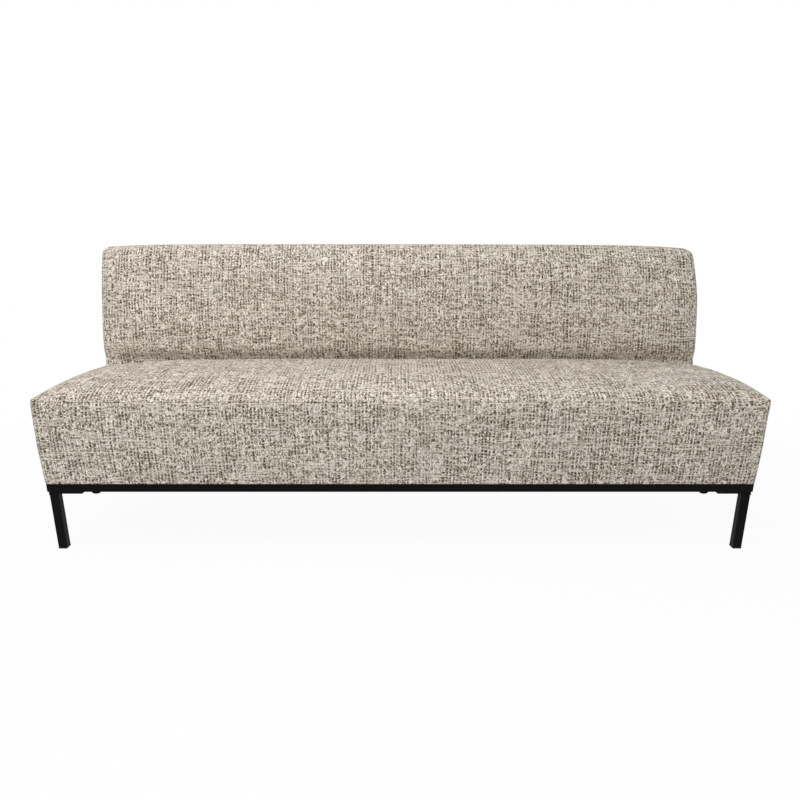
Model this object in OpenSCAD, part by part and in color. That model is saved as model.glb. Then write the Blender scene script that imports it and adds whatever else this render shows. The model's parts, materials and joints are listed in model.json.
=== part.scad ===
// Upholstered bench with a leaning back, on a square tube steel underframe.
// Z is up, the front faces -Y, X runs along the bench, and the floor is z = 0.
// Inside the modules y is measured from the front face of the seat cover, at its foot.

/* [Overall] */
// Width of the bench at the foot of the seat cover
bench_w = 2000; // [1400:10:2400]
// Depth of the seat block, front face to rear face
seat_d = 505; // [440:5:600]
// Height of the seam along the front edge of the seat
seam_h = 438; // [380:1:500]
// Height of the top of the back
back_h = 835; // [720:5:950]

/* [Seat block] */
// How far the middle of the seat rises above its front seam
seat_crown = 38; // [20:1:55]
// Radius of the roll above the seam along the front top edge of the seat
seam_r = 9; // [6:1:16]
// Radius of the rear top edge of the seat, in the crack before the back
crack_r = 14; // [8:1:24]
// Radius of the upright corners of the seat block
seat_end_r = 10; // [9:1:16]
// How far the front face swells forward above its foot
seat_front_swell = 3; // [1:0.5:8]
// How far the end faces swell outward above their foot
seat_end_swell = 5; // [1:0.5:10]

/* [Back block] */
// Depth of the back block at its base
back_base_d = 130; // [110:1:170]
// Depth of the back block at its top
back_top_d = 92; // [84:1:110]
// How far the front face leans back by the top
back_lean = 82; // [40:1:120]
// How far the front face swells forward of a straight line
back_swell = 20; // [8:1:35]
// How far the end faces of the back swell outward
back_end_swell = 9; // [1:0.5:12]
// How far the top edge drops at the two ends
back_end_drop = 12; // [4:1:20]
// Radius of the front top edge of the back
back_front_r = 34; // [24:1:42]
// Radius of the rear top edge of the back
back_rear_r = 28; // [18:1:36]
// Radius of the upright corners of the back block
back_end_r = 22; // [16:1:32]

/* [Cover and padding] */
// Thickness of the woven cover
cover_t = 1.5; // [1:0.1:2.5]
// Thickness of the wadding over the timber faces
wadding_t = 5; // [3:0.5:8]
// Foam in front of the ribs at the top of the back
back_foam_t = 42; // [30:1:50]
// Width of the cover folded under the blocks
fold_w = 45; // [35:1:55]
// Thickness of the black cloth under the seat
dust_t = 0.8; // [0.5:0.1:1]

/* [Steel underframe] */
// Height of the underside of the rails
rail_clear = 177; // [120:1:220]
// Side of the square tube
tube = 25; // [22:1:35]
// Wall of the square tube
tube_wall = 2; // [1.5:0.5:3]
// Distance from the cover faces to the rails
rail_inset = 3; // [1:0.5:6]
// Distance from the rail faces to the legs
leg_inset = 3; // [1:0.5:6]
// Side of the square leg plates
plate_side = 94; // [70:1:120]
// Thickness of the leg plates
plate_t = 6; // [4:0.5:8]
// Thickness of the glide heads under the legs
glide_t = 3; // [2:0.5:6]
// Depth of the glide plugs inside the legs
glide_plug = 22; // [12:1:30]

/* [Timber and plywood] */
// Thickness of the seat frame timbers
timber_t = 45; // [35:1:60]
// Height of the seat frame timbers
timber_h = 95; // [70:1:110]
// Legs of the triangular corner blocks
block_side = 60; // [40:1:80]
// Height of the corner blocks
block_h = 45; // [30:1:60]
// Height of the long timbers at the foot and top of the back
back_timber_h = 45; // [30:1:55]
// Thickness of the plywood ribs
rib_t = 18; // [12:1:24]
// Thickness of the hardboard panels behind the ribs
panel_t = 3; // [2:0.5:5]

/* [Webbing] */
// Width of the elastic webbing
web_w = 50; // [40:1:70]
// Thickness of the elastic webbing
web_t = 2; // [1:0.5:3]
// Length of webbing held on each timber
web_hold = 30; // [20:1:35]
// Number of straps from front to rear under the seat foam
cross_web_count = 14; // [8:1:18]
// Number of straps along the seat
long_web_count = 4; // [3:1:5]
// Number of straps along the back
back_web_count = 4; // [3:1:4]

/* [Fasteners] */
// Distance from the bench ends to the frame bolts
frame_bolt_inset = 138; // [110:1:180]
// Thread of the frame bolts
frame_bolt_d = 6; // [5:1:6]
// Head diameter of the frame bolts
frame_head_d = 24; // [16:1:25]
// Head height of the frame bolts
frame_head_h = 6; // [3:0.5:8]
// Outer diameter of the washers on the frame bolts
washer_d = 27; // [25.5:0.5:30]
// Thickness of the washers
washer_t = 2; // [1:0.1:3]
// Outer diameter of the threaded inserts for the frame bolts
frame_insert_d = 10; // [8:0.5:10]
// Length of the threaded inserts for the frame bolts
frame_insert_h = 15; // [10:1:20]
// Thread of the bolts that join the back to the seat
back_bolt_d = 8; // [6:1:8]
// Head diameter of those bolts
back_head_d = 16; // [13:1:20]
// Head height of those bolts
back_head_h = 5; // [3:0.5:8]
// Outer diameter of their threaded inserts
back_insert_d = 12; // [10:0.5:14]
// Length of their threaded inserts
back_insert_h = 20; // [14:1:26]
// Thread of the countersunk leg plate screws
plate_screw_d = 6; // [5:1:6]
// Head diameter of the leg plate screws
plate_head_d = 12; // [10:0.5:13]
// Head height of the leg plate screws
plate_head_h = 3; // [2:0.5:3.5]
// Distance from the plate edges to its screws
plate_screw_edge = 18; // [12:1:24]
// Width across the corners of the weld nuts
nut_d = 11; // [9:0.5:13]
// Height of the weld nuts
nut_h = 5; // [4:0.5:6]

/* [Clearances] */
// Gap that keeps soft pieces clear of their neighbours
soft_gap = 0.3; // [0.2:0.05:0.5]
// Gap between the seat block and the back block
unit_gap = 0.6; // [0.4:0.1:2]
// Added to a bolt for a plain hole through wood or steel
bolt_play = 0.6; // [0.4:0.1:1]
// Added to a thread for the bore of a nut or insert
thread_play = 0.1; // [0.05:0.05:0.2]
// Added to a bolt for the hole through cloth and wadding
cloth_play = 3; // [2:0.5:4]
// Gap around the glide plugs
plug_play = 0.2; // [0.1:0.05:0.4]

/* [Hidden] */

$fn = 48;
overrun = 1;

fabric_colour = "#b4aa9c";
steel_colour = "#1c1c1d";
glide_colour = "#101011";
zinc_colour = "#a9adb2";
timber_colour = "#cfa873";
plywood_colour = "#c79f6a";
hardboard_colour = "#7a5a3c";
foam_colour = "#e6dcc0";
webbing_colour = "#2c2a28";
dust_colour = "#202022";

// Heights and insets that stack up from the sizes above
half_w = bench_w / 2;
rail_half = half_w - rail_inset;
rail_top = rail_clear + tube;
block_z = rail_top + soft_gap;
timber_z = block_z + cover_t + soft_gap;
timber_top = timber_z + timber_h;
wrap = cover_t + wadding_t + 2 * soft_gap;
back_y = seat_d + unit_gap;
base_rear_y = back_y + back_base_d;
top_rear_y = back_y + back_lean + back_top_d;
bench_d = max(base_rear_y, top_rear_y);
frame_front_y = rail_inset;
frame_rear_y = base_rear_y - rail_inset;
frame_d = frame_rear_y - frame_front_y;
rail_mid = tube / 2;

// The front face of the back leans from just above the seam, the rear face from a little below it
front_kink_z = seam_h + seat_crown / 3;
rear_kink_z = seam_h - seat_crown;

// Seat timbers
timber_half = half_w - wrap;
timber_front_y = wrap;
timber_rear_y = seat_d - wrap;
inner_timber_share = 1 / 3;

// Back core, the space for ribs, timbers and panels inside the back padding
core_half = half_w - back_end_r;
core_top_z = back_h - back_end_drop - max(back_front_r, back_rear_r) - wadding_t;
core_front_y = back_y + wrap;
core_rear_y = base_rear_y - cover_t - soft_gap;
rib_low_z = timber_z + back_timber_h;
rib_high_z = core_top_z - back_timber_h;
rib_low_front_y = core_front_y + wadding_t + web_t;
rib_front_lean = back_lean * (core_top_z - front_kink_z) / (back_h - front_kink_z)
    + back_foam_t - wrap - wadding_t - web_t;
rib_places_share = [-1, -0.5, 0, 0.5, 1];

// Shape of the crowns: stations along the bench and points across it, as shares
station_shares = [0.985, 0.965, 0.94, 0.91, 0.87, 0.82, 0.74, 0.62, 0.45, 0.22];
seat_foot_shares = [0.14, 0.32, 0.55];
seat_top_shares = [0.03, 0.08, 0.16, 0.27, 0.42, 0.58, 0.74, 0.87, 0.96];
back_front_shares = [0, 0.07, 0.18, 0.32, 0.48, 0.64, 0.8, 0.92];
end_power = 8;
seat_end_power = 14;
seat_end_crown_share = 0.36;
seat_rear_drop_share = 0.29;
seat_front_power = 2.6;
seat_rear_power = 3;
seat_swell_share = 0.5;
seat_end_swell_turn = 150;
back_swell_power = 0.75;
back_end_swell_share = 0.35;

// How much of the height of a frame bolt's head is its dome
head_dome_share = 0.6;

// Stations of a block with rounded ends, inset by d: place along X, ring inset, share of the half width
end_angles = [0, 30, 60, 90];
function half_stations(half, r, d) = concat(
    [for (a = end_angles) [half - r + (r - d) * cos(a), (r - d) * (1 - sin(a)), 1 - r * (1 - cos(a)) / half]],
    [for (share = station_shares) [(half - r) * share, 0, (half - r) * share / half]]
);
function stations(half, r, d) = let (right = half_stations(half, r, d), last = len(right) - 1) concat(
    [for (s = right) [-s[0], s[1], s[2]]],
    [[0, 0, 0]],
    [for (i = [last:-1:0]) right[i]]
);

// Share of the full crown at a share of the half width, which is end_share at the very end
function crown_fade(share, end_share, power) = 1 - (1 - end_share) * pow(share, power);

// Crown of the seat from the roll at its front edge, 0, to its rear edge, 1
function seat_crown_at(s) = s < 0.5
    ? 1 - pow(1 - 2 * s, seat_front_power)
    : 1 - seat_rear_drop_share * pow(2 * s - 1, seat_rear_power);

// Points of a quarter arc about a centre in the YZ plane
function arc(cy, cz, r, from, to, steps) =
    [for (i = [0:steps]) let (a = from + (to - from) * i / steps) [cy + r * cos(a), cz + r * sin(a)]];

// How full the swell of the seat faces is at a height: none at the foot, full from half way up
function seat_swell_at(z) =
    sin(90 * max(0, min(1, (z - block_z) / ((seam_h - block_z) * seat_swell_share))));

// The same for its end faces, which are fullest above the middle and draw in again at the seam
function seat_end_swell_at(z) =
    sin(seat_end_swell_turn * max(0, min(1, (z - block_z) / (seam_h - block_z))));

// Outline of the seat block across its depth, inset by d all round and by e at a rounded end
function seat_outline(d, e, share) = let (
    y0 = d + e,
    y1 = seat_d - d - e,
    z0 = block_z + d,
    z1 = seam_h + seam_r - d - e,
    r = seam_r - d,
    rr = crack_r - d,
    y_top = y0 - seat_front_swell + r,
    lift = (seat_crown - seam_r) * crown_fade(share, seat_end_crown_share, seat_end_power),
    z_rear = z1 + lift * seat_crown_at(1)
) concat(
    [[y0, z0]],
    [for (s = seat_foot_shares) let (z = z0 + (z1 - z0) * s) [y0 - seat_front_swell * seat_swell_at(z), z]],
    arc(y_top, z1 - r, r, 180, 90, 2),
    [for (s = seat_top_shares) [y_top + (y1 - rr - y_top) * s, z1 + lift * seat_crown_at(s)]],
    arc(y1 - rr, z_rear - rr, rr, 90, 0, 2),
    [[y1, z0 + (z1 - z0) * seat_foot_shares[1]]],
    [[y1, z0]]
);

// Outline of the back block across its depth, with the same insets
function back_outline(d, e, share) = let (
    drop = back_end_drop * pow(share, end_power),
    z1 = back_h - drop - d - e,
    rf = max(back_front_r - d - e, cover_t),
    rr = max(back_rear_r - d - e, cover_t),
    z_front = z1 - rf,
    swell = back_swell * crown_fade(share, back_end_swell_share, end_power),
    span = z_front - front_kink_z,
    y_front = back_y + d + e,
    y_top = y_front + back_lean * span / (back_h - front_kink_z),
    y_rear = top_rear_y - d - e
) concat(
    [[y_front, block_z + d]],
    [for (s = back_front_shares)
        [y_front + (y_top - y_front) * s - swell * pow(sin(180 * s), back_swell_power), front_kink_z + span * s]],
    arc(y_top + rf, z_front, rf, 180, 90, 3),
    arc(y_rear - rr, z1 - rr, rr, 90, 0, 3),
    [[base_rear_y - d - e, rear_kink_z]],
    [[base_rear_y - d - e, block_z + d]]
);

// The outline at each station, with end faces that swell outward between foot and top
function seat_rings(d) = [for (s = stations(half_w, seat_end_r, d))
    let (push = sign(s[0]) * seat_end_swell * pow(s[2], end_power))
        [for (p = seat_outline(d, s[1], s[2])) [s[0] + push * seat_end_swell_at(p[1]), p[0], p[1]]]];
function back_swell_at(z) = sin(180 * max(0, z - block_z) / (back_h - block_z));
function back_rings(d) = [for (s = stations(half_w, back_end_r, d))
    let (push = sign(s[0]) * back_end_swell * pow(s[2], end_power))
        [for (p = back_outline(d, s[1], s[2])) [s[0] + push * back_swell_at(p[1]), p[0], p[1]]]];

function middle(ring) = [for (p = ring) 1] * ring / len(ring);

// Closed solid through a list of rings, in triangles, with a fan at each end
module loft(rings) {
    n = len(rings[0]);
    m = len(rings);
    points = concat([for (ring = rings) each ring], [middle(rings[0]), middle(rings[m - 1])]);
    sides = [for (i = [0:m - 2]) for (j = [0:n - 1]) let (k = (j + 1) % n) each [
        [i * n + j, i * n + k, (i + 1) * n + j],
        [(i + 1) * n + j, i * n + k, (i + 1) * n + k]
    ]];
    first_cap = [for (j = [0:n - 1]) [m * n, (j + 1) % n, j]];
    last_cap = [for (j = [0:n - 1]) [m * n + 1, (m - 1) * n + j, (m - 1) * n + (j + 1) % n]];
    polyhedron(points = points, faces = concat(sides, first_cap, last_cap));
}

// Moves a piece from front face coordinates to the middle of the bench
module at_home() {
    translate([0, (seat_front_swell - bench_d) / 2, 0]) children();
}

// Places a piece drawn at the front left corner of the steel frame at any corner
module at_corner(side, end) {
    translate([side * rail_half, end < 0 ? frame_front_y : frame_rear_y, 0])
        mirror([side > 0 ? 1 : 0, 0, 0])
            mirror([0, end > 0 ? 1 : 0, 0]) children();
}

// Prism along X from an outline in the YZ plane
module prism(x0, x1, outline) {
    translate([x0, 0, 0]) rotate([90, 0, 90]) linear_extrude(x1 - x0) polygon(outline);
}

module upright_hole(x, y, z, d, h) {
    translate([x, y, z]) cylinder(d = d, h = h);
}

module level_hole(x, y, z, d, h) {
    translate([x, y, z]) rotate([-90, 0, 0]) cylinder(d = d, h = h);
}

// Centres of the two leg plate screws, from the frame corner
plate_screw_reach = leg_inset + plate_side - plate_screw_edge;
plate_screw_places = [[plate_screw_reach, rail_mid], [rail_mid, plate_screw_reach]];

// Centres of the frame bolts and of the bolts that join the back to the seat
frame_bolt_x = half_w - frame_bolt_inset;
frame_bolt_ys = [frame_front_y + rail_mid, frame_rear_y - rail_mid];
back_bolt_shares = [-0.8, -0.2, 0.2, 0.8];
back_bolt_z = timber_z + back_timber_h / 2;
back_bolt_y = timber_rear_y - timber_t;
back_bolt_end_y = core_front_y + back_insert_h;

module each_frame_bolt() {
    for (side = [-1, 1]) for (y = frame_bolt_ys) translate([side * frame_bolt_x, y, 0]) children();
}

module each_back_bolt() {
    for (share = back_bolt_shares) translate([share * half_w, 0, back_bolt_z]) children();
}

// Steel underframe
module mitred_rail(length) {
    difference() {
        linear_extrude(tube) polygon([
            [-length / 2, 0], [length / 2, 0], [length / 2 - tube, tube], [tube - length / 2, tube]
        ]);
        translate([-length / 2, tube_wall, tube_wall])
            cube([length, tube - 2 * tube_wall, tube - 2 * tube_wall]);
    }
}

module plate_screw_holes(end) {
    for (side = [-1, 1]) at_corner(side, end) for (p = plate_screw_places)
        upright_hole(p[0], p[1], rail_clear - overrun, plate_screw_d + bolt_play, tube_wall + 2 * overrun);
}

module frame_bolt_holes() {
    each_frame_bolt() upright_hole(0, 0, rail_clear - overrun, frame_bolt_d + bolt_play, tube + 2 * overrun);
}

module front_rail() {
    color(steel_colour) at_home() difference() {
        translate([0, frame_front_y, rail_clear]) mitred_rail(2 * rail_half);
        frame_bolt_holes();
        plate_screw_holes(-1);
    }
}

module rear_rail() {
    color(steel_colour) at_home() difference() {
        translate([0, frame_rear_y, rail_clear]) mirror([0, 1, 0]) mitred_rail(2 * rail_half);
        frame_bolt_holes();
        plate_screw_holes(1);
    }
}

module end_rail(side) {
    color(steel_colour) at_home() difference() {
        translate([side * rail_half, frame_front_y + frame_d / 2, rail_clear])
            rotate([0, 0, side * 90]) mitred_rail(frame_d);
        plate_screw_holes(-1);
        plate_screw_holes(1);
    }
}

module centre_rail() {
    color(steel_colour) at_home() translate([-rail_mid, frame_front_y + tube, rail_clear]) difference() {
        cube([tube, frame_d - 2 * tube, tube]);
        translate([tube_wall, -overrun, tube_wall])
            cube([tube - 2 * tube_wall, frame_d - 2 * tube + 2 * overrun, tube - 2 * tube_wall]);
    }
}

module leg(side, end) {
    leg_h = rail_clear - plate_t - glide_t;
    bore = tube - 2 * tube_wall;
    color(steel_colour) at_home() at_corner(side, end) translate([leg_inset, leg_inset, glide_t])
        difference() {
            cube([tube, tube, leg_h]);
            translate([tube_wall, tube_wall, -overrun]) cube([bore, bore, leg_h + 2 * overrun]);
        }
}

module leg_plate(side, end) {
    hole_d = plate_screw_d + bolt_play;
    color(steel_colour) at_home() at_corner(side, end) translate([0, 0, rail_clear - plate_t]) difference() {
        translate([leg_inset, leg_inset, 0]) cube([plate_side, plate_side, plate_t]);
        for (p = plate_screw_places) {
            upright_hole(p[0], p[1], -overrun, hole_d, plate_t + 2 * overrun);
            translate([p[0], p[1], 0]) cylinder(d1 = plate_head_d + bolt_play, d2 = hole_d, h = plate_head_h);
        }
    }
}

module glide(side, end) {
    plug = tube - 2 * tube_wall - 2 * plug_play;
    inset = tube_wall + plug_play;
    color(glide_colour) at_home() at_corner(side, end) translate([leg_inset, leg_inset, 0]) {
        cube([tube, tube, glide_t]);
        translate([inset, inset, 0]) cube([plug, plug, glide_t + glide_plug]);
    }
}

module leg_plate_screws() {
    screw_h = plate_t + tube_wall + nut_h;
    color(zinc_colour) at_home() for (side = [-1, 1]) for (end = [-1, 1]) at_corner(side, end)
        for (p = plate_screw_places) translate([p[0], p[1], rail_clear - plate_t]) {
            cylinder(d1 = plate_head_d, d2 = plate_screw_d, h = plate_head_h);
            cylinder(d = plate_screw_d, h = screw_h);
        }
}

module leg_plate_nuts() {
    color(zinc_colour) at_home() for (side = [-1, 1]) for (end = [-1, 1]) at_corner(side, end)
        for (p = plate_screw_places) translate([p[0], p[1], rail_clear + tube_wall]) difference() {
            cylinder(d = nut_d, h = nut_h, $fn = 6);
            upright_hole(0, 0, -overrun, plate_screw_d + thread_play, nut_h + 2 * overrun);
        }
}

module frame_bolts() {
    head_z = rail_clear - washer_t;
    shank_h = timber_z + frame_insert_h - head_z;
    dome_h = frame_head_h * head_dome_share;
    dome_r = (pow(frame_head_d / 2, 2) + pow(dome_h, 2)) / (2 * dome_h);
    color(steel_colour) at_home() each_frame_bolt() {
        translate([0, 0, head_z]) cylinder(d = frame_bolt_d, h = shank_h);
        intersection() {
            translate([0, 0, head_z - frame_head_h + dome_r]) sphere(r = dome_r);
            translate([0, 0, head_z - frame_head_h]) cylinder(d = frame_head_d, h = frame_head_h);
        }
    }
}

module frame_bolt_washers() {
    color(steel_colour) at_home() each_frame_bolt() translate([0, 0, rail_clear - washer_t]) difference() {
        cylinder(d = washer_d, h = washer_t);
        upright_hole(0, 0, -overrun, frame_bolt_d + bolt_play, washer_t + 2 * overrun);
    }
}

module frame_bolt_inserts() {
    color(zinc_colour) at_home() each_frame_bolt() translate([0, 0, timber_z]) difference() {
        cylinder(d = frame_insert_d, h = frame_insert_h);
        upright_hole(0, 0, -overrun, frame_bolt_d + thread_play, frame_insert_h + 2 * overrun);
    }
}

module frame_insert_holes() {
    each_frame_bolt() upright_hole(0, 0, timber_z - overrun, frame_insert_d, frame_insert_h + overrun);
}

// Seat block
module seat_front_timber() {
    color(timber_colour) at_home() difference() {
        translate([-timber_half, timber_front_y, timber_z]) cube([2 * timber_half, timber_t, timber_h]);
        frame_insert_holes();
    }
}

module seat_rear_timber() {
    color(timber_colour) at_home() difference() {
        translate([-timber_half, back_bolt_y, timber_z]) cube([2 * timber_half, timber_t, timber_h]);
        each_back_bolt()
            level_hole(0, back_bolt_y - overrun, 0, back_bolt_d + bolt_play, timber_t + 2 * overrun);
    }
}

module seat_short_timber(x) {
    color(timber_colour) at_home() translate([x - timber_t / 2, timber_front_y + timber_t, timber_z])
        cube([timber_t, back_bolt_y - timber_front_y - timber_t, timber_h]);
}

module seat_corner_blocks() {
    x = timber_half - timber_t;
    y0 = timber_front_y + timber_t;
    color(timber_colour) at_home() for (side = [-1, 1]) for (rear = [0, 1])
        translate([side * x, rear ? back_bolt_y : y0, timber_z + (timber_h - block_h) / 2])
            mirror([side > 0 ? 1 : 0, 0, 0]) mirror([0, rear, 0])
                linear_extrude(block_h) polygon([[0, 0], [block_side, 0], [0, block_side]]);
}

module seat_cross_webbing() {
    y0 = timber_front_y + timber_t - web_hold;
    y1 = back_bolt_y + web_hold;
    room = 2 * (timber_half - timber_t) - web_w;
    color(webbing_colour) at_home() for (i = [0:cross_web_count - 1])
        translate([-room / 2 + room * i / (cross_web_count - 1) - web_w / 2, y0, timber_top])
            cube([web_w, y1 - y0, web_t]);
}

module seat_long_webbing() {
    x1 = timber_half - timber_t + web_hold;
    y0 = timber_front_y + timber_t;
    room = back_bolt_y - y0 - web_w;
    pitch = room / long_web_count;
    color(webbing_colour) at_home() for (i = [0:long_web_count - 1])
        translate([-x1, y0 + pitch * (i + 0.5), timber_top + web_t]) cube([2 * x1, web_w, web_t]);
}

// Box that the foam leaves free for the timber frame and the webbing
module seat_core() {
    half = timber_half + soft_gap;
    translate([-half, timber_front_y - soft_gap, block_z])
        cube([2 * half, timber_rear_y - timber_front_y + 2 * soft_gap,
            timber_top + 2 * web_t + soft_gap - block_z]);
}

module back_bolt_cloth_holes() {
    each_back_bolt() level_hole(0, timber_rear_y - overrun, 0, back_bolt_d + cloth_play,
        core_front_y - timber_rear_y + 2 * overrun);
}

module frame_bolt_cloth_holes() {
    each_frame_bolt()
        upright_hole(0, 0, block_z - overrun, frame_bolt_d + cloth_play, cover_t + 2 * overrun);
}

module seat_foam() {
    color(foam_colour) at_home() difference() {
        loft(seat_rings(cover_t + soft_gap));
        seat_core();
        back_bolt_cloth_holes();
    }
}

module seat_cover() {
    color(fabric_colour) at_home() difference() {
        loft(seat_rings(0));
        loft(seat_rings(cover_t));
        translate([fold_w - half_w, fold_w, block_z - overrun])
            cube([bench_w - 2 * fold_w, seat_d - 2 * fold_w, cover_t + 2 * overrun]);
        frame_bolt_cloth_holes();
        back_bolt_cloth_holes();
    }
}

module seat_dust_cover() {
    inset = fold_w + soft_gap;
    color(dust_colour) at_home() translate([inset - half_w, inset, timber_z - soft_gap - dust_t])
        cube([bench_w - 2 * inset, seat_d - 2 * inset, dust_t]);
}

// Back block
function rear_face_y(z) = z < rear_kink_z
    ? core_rear_y
    : core_rear_y + (top_rear_y - base_rear_y) * (z - rear_kink_z) / (back_h - back_rear_r - rear_kink_z);

function rib_front_y(z) = z < front_kink_z
    ? rib_low_front_y
    : rib_low_front_y + rib_front_lean * (z - front_kink_z) / (core_top_z - front_kink_z);

module back_bottom_timber() {
    depth = core_rear_y - panel_t - core_front_y;
    color(timber_colour) at_home() difference() {
        translate([-core_half, core_front_y, timber_z]) cube([2 * core_half, depth, back_timber_h]);
        frame_insert_holes();
        each_back_bolt() level_hole(0, core_front_y - overrun, 0, back_insert_d, back_insert_h + overrun);
    }
}

module back_top_timber() {
    color(timber_colour) at_home() prism(-core_half, core_half, [
        [rib_front_y(rib_high_z), rib_high_z],
        [rib_front_y(core_top_z), core_top_z],
        [rear_face_y(core_top_z) - panel_t, core_top_z],
        [rear_face_y(rib_high_z) - panel_t, rib_high_z]
    ]);
}

module back_rib(share) {
    x = share * (core_half - rib_t / 2);
    color(plywood_colour) at_home() prism(x - rib_t / 2, x + rib_t / 2, [
        [rib_low_front_y, rib_low_z],
        [rib_low_front_y, front_kink_z],
        [rib_front_y(rib_high_z), rib_high_z],
        [rear_face_y(rib_high_z) - panel_t, rib_high_z],
        [core_rear_y - panel_t, rear_kink_z],
        [core_rear_y - panel_t, rib_low_z]
    ]);
}

module back_webbing() {
    rise = core_top_z - front_kink_z;
    lean = atan(rib_front_lean / rise);
    face = rise / cos(lean);
    pitch = (face - web_w) / (back_web_count + 1);
    color(webbing_colour) at_home() translate([-core_half, rib_low_front_y, front_kink_z])
        rotate([-lean, 0, 0]) for (i = [1:back_web_count])
            translate([0, -web_t, pitch * i]) cube([2 * core_half, web_t, web_w]);
}

module back_lower_panel() {
    color(hardboard_colour) at_home() prism(-core_half, core_half, [
        [core_rear_y - panel_t, timber_z],
        [core_rear_y, timber_z],
        [core_rear_y, rear_kink_z],
        [core_rear_y - panel_t, rear_kink_z]
    ]);
}

module back_upper_panel() {
    color(hardboard_colour) at_home() prism(-core_half, core_half, [
        [core_rear_y - panel_t, rear_kink_z],
        [core_rear_y, rear_kink_z],
        [rear_face_y(core_top_z), core_top_z],
        [rear_face_y(core_top_z) - panel_t, core_top_z]
    ]);
}

// Space that the foam leaves free for the timbers, ribs, webbing and panels
module back_core() {
    half = core_half + soft_gap;
    front = web_t + 2 * soft_gap;
    rear = back_base_d;
    prism(-half, half, [
        [core_front_y - soft_gap, block_z],
        [core_front_y - soft_gap, rib_low_z + soft_gap],
        [rib_low_front_y - front, rib_low_z + soft_gap],
        [rib_low_front_y - front, front_kink_z],
        [rib_front_y(core_top_z) - front, core_top_z + soft_gap],
        [core_rear_y + rear, core_top_z + soft_gap],
        [core_rear_y + rear, block_z]
    ]);
}

module back_foam() {
    color(foam_colour) at_home() difference() {
        loft(back_rings(cover_t + soft_gap));
        back_core();
        back_bolt_cloth_holes();
    }
}

module back_cover() {
    color(fabric_colour) at_home() difference() {
        loft(back_rings(0));
        loft(back_rings(cover_t));
        translate([fold_w - half_w, back_y + fold_w, block_z - overrun])
            cube([bench_w - 2 * fold_w, back_base_d - 2 * fold_w, cover_t + 2 * overrun]);
        frame_bolt_cloth_holes();
        back_bolt_cloth_holes();
    }
}

module back_bolts() {
    color(zinc_colour) at_home() each_back_bolt() {
        level_hole(0, back_bolt_y - back_head_h, 0, back_head_d, back_head_h);
        level_hole(0, back_bolt_y, 0, back_bolt_d, back_bolt_end_y - back_bolt_y);
    }
}

module back_bolt_inserts() {
    color(zinc_colour) at_home() each_back_bolt() difference() {
        level_hole(0, core_front_y, 0, back_insert_d, back_insert_h);
        level_hole(0, core_front_y - overrun, 0, back_bolt_d + thread_play, back_insert_h + 2 * overrun);
    }
}

front_rail();
rear_rail();
end_rail(-1);  // left_end_rail
end_rail(1);  // right_end_rail
centre_rail();
leg(-1, -1);  // front_left_leg
leg(1, -1);  // front_right_leg
leg(-1, 1);  // rear_left_leg
leg(1, 1);  // rear_right_leg
leg_plate(-1, -1);  // front_left_leg_plate
leg_plate(1, -1);  // front_right_leg_plate
leg_plate(-1, 1);  // rear_left_leg_plate
leg_plate(1, 1);  // rear_right_leg_plate
glide(-1, -1);  // front_left_glide
glide(1, -1);  // front_right_glide
glide(-1, 1);  // rear_left_glide
glide(1, 1);  // rear_right_glide
leg_plate_screws();
leg_plate_nuts();
frame_bolts();
frame_bolt_washers();
frame_bolt_inserts();
seat_front_timber();
seat_rear_timber();
seat_short_timber(timber_t / 2 - timber_half);  // seat_left_timber
seat_short_timber(timber_half - timber_t / 2);  // seat_right_timber
seat_short_timber(-inner_timber_share * timber_half);  // seat_inner_left_timber
seat_short_timber(inner_timber_share * timber_half);  // seat_inner_right_timber
seat_corner_blocks();
seat_cross_webbing();
seat_long_webbing();
seat_foam();
seat_cover();
seat_dust_cover();
back_bottom_timber();
back_top_timber();
back_rib(rib_places_share[0]);  // back_left_rib
back_rib(rib_places_share[1]);  // back_inner_left_rib
back_rib(rib_places_share[2]);  // back_centre_rib
back_rib(rib_places_share[3]);  // back_inner_right_rib
back_rib(rib_places_share[4]);  // back_right_rib
back_webbing();
back_lower_panel();
back_upper_panel();
back_foam();
back_cover();
back_bolts();
back_bolt_inserts();
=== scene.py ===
# %% [markdown]
# # An upholstered bench on a square tube frame
# The bench has two padded blocks, a seat and a leaning back, in a pale tweed with dark slubs.
# They stand on a welded frame of black square tube with four legs.
# The solid model gives every size and every hidden part: timbers, ribs, webbing and fixings.
# This lesson dresses it. The soft blocks and the steel get new pieces that follow the solid
# model's boxes, and the hidden parts keep their solids and get a proper finish.

# %% Load the solid model
import json
import math

import bmesh
import bpy
from mathutils import Matrix, Vector, noise


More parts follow.
